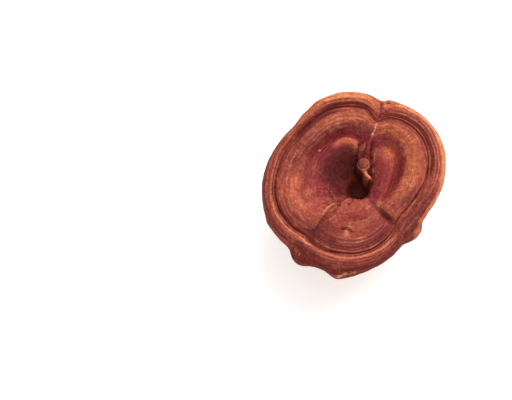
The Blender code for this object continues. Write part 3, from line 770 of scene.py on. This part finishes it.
def mix(tree, factor, first, second, blend="MIX"):
    """Colour sockets mixed by a factor socket or number."""
    node = add_node(tree, "ShaderNodeMix", data_type="RGBA", blend_type=blend)
    for index, value in ((0, factor), (6, first), (7, second)):
        if isinstance(value, bpy.types.NodeSocket):
            tree.links.new(value, node.inputs[index])
        else:
            node.inputs[index].default_value = value
    return node.outputs[2]


def mask(tree, name, output="Fac"):
    return add_node(tree, "ShaderNodeAttribute", attribute_name=name).outputs[output]


def speckle(tree, place_at, scale, low, high, detail=3.0, out=(0.0, 1.0)):
    """Noise that rises from one number to another between two of its levels."""
    cloud = add_node(tree, "ShaderNodeTexNoise", {"Vector": place_at, "Scale": scale, "Detail": detail})
    limits = {"Value": cloud.outputs["Fac"], "From Min": low, "From Max": high, "To Min": out[0],
              "To Max": out[1]}
    levels = add_node(tree, "ShaderNodeMapRange", limits, interpolation_type="SMOOTHSTEP")
    return levels.outputs["Result"]


# Layers of colour over the crust, from the lowest to the uppermost
LIGHT_ON_TOP = 0.98
CRUST_COLOUR = seen(172, 83, 66)
CRUST_LAYERS = [
    # Duller crust, and painted shade on the rim's sides away from the light
    ("dull_and_shade", seen(124, 53, 49)),
    ("plum", seen(136, 46, 56)),
    # Darker crust, with painted shade on slopes and creases that face away from the light
    ("umber_and_shade", seen(122, 46, 43)),
    # Painted shade on the slopes down into the pit, below steps and beside the knob
    ("painted_shade", seen(90, 32, 31)),
    ("ochre", seen(196, 108, 74)),
    # Warmer crust, with painted light on the lit tops of the folds, the pimple and a nub
    ("orange_and_light", seen(200, 104, 78)),
    # The rim's pale growing edge, with painted light where it faces the lamp
    ("pale_rim_and_light", seen(226, 134, 84)),
    ("pores", seen(206, 160, 112)),
    ("neck", seen(112, 44, 32)),
    ("pit", seen(88, 33, 25)),
    ("crimson", seen(136, 38, 50)),
    ("flesh", seen(190, 82, 76)),
    # Pale marks and dark lines, with painted light on ridges and painted shade in furrows and cracks
    ("pale", seen(240, 168, 128)),
    ("shade", seen(62, 20, 18)),
]


def cap_material():
    material, tree, shader = new_material("cap_crust")
    place_at = add_node(tree, "ShaderNodeTexCoord").outputs["Object"]
    colour = CRUST_COLOUR
    for name, tint in CRUST_LAYERS:
        colour = mix(tree, mask(tree, name), colour, tint)
    lines = speckle(tree, mask(tree, "ring_place", "Vector"), 1.2, 0.3, 0.7)
    colour = mix(tree, lines, colour, srgb(216, 206, 204), "MULTIPLY")
    mottle = speckle(tree, place_at, 520, 0.36, 0.64)
    colour = mix(tree, mottle, colour, srgb(220, 206, 202), "MULTIPLY")
    specks = speckle(tree, place_at, 950, 0.62, 0.72, 2.0, (0.0, 0.5))
    colour = mix(tree, specks, colour, srgb(120, 60, 50), "MULTIPLY")
    # The pores' openings painted darker, as shade inside them
    cells = add_node(tree, "ShaderNodeTexVoronoi", {"Vector": place_at, "Scale": 1300})
    limits = {"Value": cells.outputs["Distance"], "From Min": 0.3, "From Max": 0.5, "To Min": 0.5, "To Max": 0.0}
    pore_shade = add_node(tree, "ShaderNodeMapRange", limits).outputs["Result"]
    pore_shade = add_node(tree, "ShaderNodeMath", {0: pore_shade, 1: mask(tree, "pores")}, operation="MULTIPLY")
    colour = mix(tree, pore_shade.outputs[0], colour, srgb(150, 96, 60), "MULTIPLY")
    tree.links.new(colour, shader.inputs["Base Color"])
    grain = add_node(tree, "ShaderNodeTexNoise", {"Vector": place_at, "Scale": 1100, "Detail": 4})
    bump = add_node(tree, "ShaderNodeBump", {"Height": grain.outputs["Fac"], "Strength": 0.4,
                                             "Distance": 0.0004})
    tree.links.new(bump.outputs["Normal"], shader.inputs["Normal"])
    limits = {"Value": mask(tree, "wet"), "To Min": 0.6, "To Max": 0.42}
    rough = add_node(tree, "ShaderNodeMapRange", limits).outputs["Result"]
    tree.links.new(rough, shader.inputs["Roughness"])
    shader.inputs["Specular IOR Level"].default_value = 0.08
    return material


STEM_COLOUR = seen(112, 44, 32)
STEM_LAYERS = [
    ("cut", seen(188, 136, 92)),
    # Pale rings on the cut face and painted light on the knots, then painted shade in the furrows
    ("pale", seen(240, 168, 128)),
    ("shade", seen(62, 20, 18)),
]


def stem_material():
    material, tree, shader = new_material("stem_crust")
    place_at = add_node(tree, "ShaderNodeTexCoord").outputs["Object"]
    colour = STEM_COLOUR
    for name, tint in STEM_LAYERS:
        colour = mix(tree, mask(tree, name), colour, tint)
    mottle = speckle(tree, place_at, 520, 0.36, 0.64)
    colour = mix(tree, mottle, colour, srgb(220, 206, 202), "MULTIPLY")
    tree.links.new(colour, shader.inputs["Base Color"])
    grain = add_node(tree, "ShaderNodeTexNoise", {"Vector": place_at, "Scale": 1100, "Detail": 4})
    bump = add_node(tree, "ShaderNodeBump", {"Height": grain.outputs["Fac"], "Strength": 0.4,
                                             "Distance": 0.0003})
    tree.links.new(bump.outputs["Normal"], shader.inputs["Normal"])
    limits = {"Value": mask(tree, "wet"), "To Min": 0.7, "To Max": 0.42}
    rough = add_node(tree, "ShaderNodeMapRange", limits).outputs["Result"]
    tree.links.new(rough, shader.inputs["Roughness"])
    shader.inputs["Specular IOR Level"].default_value = 0.1
    return material


# Camera, floor and lights

CAP_CENTRE = Vector((-0.001, -0.002, RIM_HEIGHT * MM))


def aim_camera():
    """Puts the rim's crest at the photographed cap's pixel, by turning the camera, not shifting it."""
    focal_px = LENS_MM / SENSOR_MM * FRAME_PX[0]
    distance = CAP_WIDTH / CAP_WIDTH_PX * focal_px
    across = (TARGET_PX[0] - FRAME_PX[0] / 2) / focal_px
    up = (FRAME_PX[1] / 2 - TARGET_PX[1]) / focal_px
    ray = Vector((across, up, -1.0)).normalized()
    tilt = np.radians(CAMERA_ELEVATION)
    back = Vector((0.0, -np.cos(tilt), np.sin(tilt)))
    data = bpy.data.cameras.new("camera")
    data.lens = LENS_MM
    data.sensor_width = SENSOR_MM
    camera = bpy.data.objects.new("camera", data)
    bpy.context.scene.collection.objects.link(camera)
    camera.rotation_mode = "QUATERNION"
    turn = back.to_track_quat("Z", "Y") @ ray.rotation_difference(Vector((0, 0, -1)))
    camera.rotation_quaternion = turn
    camera.location = CAP_CENTRE - (turn @ ray) * distance
    bpy.context.scene.camera = camera


def add_floor():
    bpy.ops.mesh.primitive_plane_add(size=6.0)
    floor = bpy.context.object
    floor.name = "floor"
    material, tree, shader = new_material("floor_paper")
    shader.inputs["Base Color"].default_value = (0.98, 0.98, 0.98, 1.0)
    shader.inputs["Emission Color"].default_value = (1.0, 1.0, 1.0, 1.0)
    shader.inputs["Emission Strength"].default_value = 0.25
    shader.inputs["Roughness"].default_value = 0.9
    floor.data.materials.append(material)


def add_light(name, place_at, size, power, colour=(1, 1, 1)):
    data = bpy.data.lights.new(name, "AREA")
    data.size = size
    data.energy = power
    data.color = colour
    lamp = bpy.data.objects.new(name, data)
    bpy.context.scene.collection.objects.link(lamp)
    lamp.location = place_at
    lamp.rotation_mode = "QUATERNION"
    lamp.rotation_quaternion = (Vector(place_at) - CAP_CENTRE).to_track_quat("Z", "Y")


def add_sky(strength):
    world = bpy.data.worlds.new("studio")
    world.use_nodes = True
    sky = world.node_tree.nodes["Background"]
    sky.inputs["Color"].default_value = (1.0, 1.0, 1.0, 1.0)
    sky.inputs["Strength"].default_value = strength
    bpy.context.scene.world = world


aim_camera()
add_floor()
add_light("key", (0.42, 0.58, 0.85), 1.0, 11.0)
add_sky(0.85)
bpy.context.scene.view_settings.view_transform = "Standard"

cap = build_cap()
cap.data.materials.append(cap_material())
stem = build_stem()
stem.data.materials.append(stem_material())
for piece, node, slot in ((cap, "cap", "cap_crust"), (stem, "stem", "stem_crust")):
    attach(piece, "root")
    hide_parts(node)
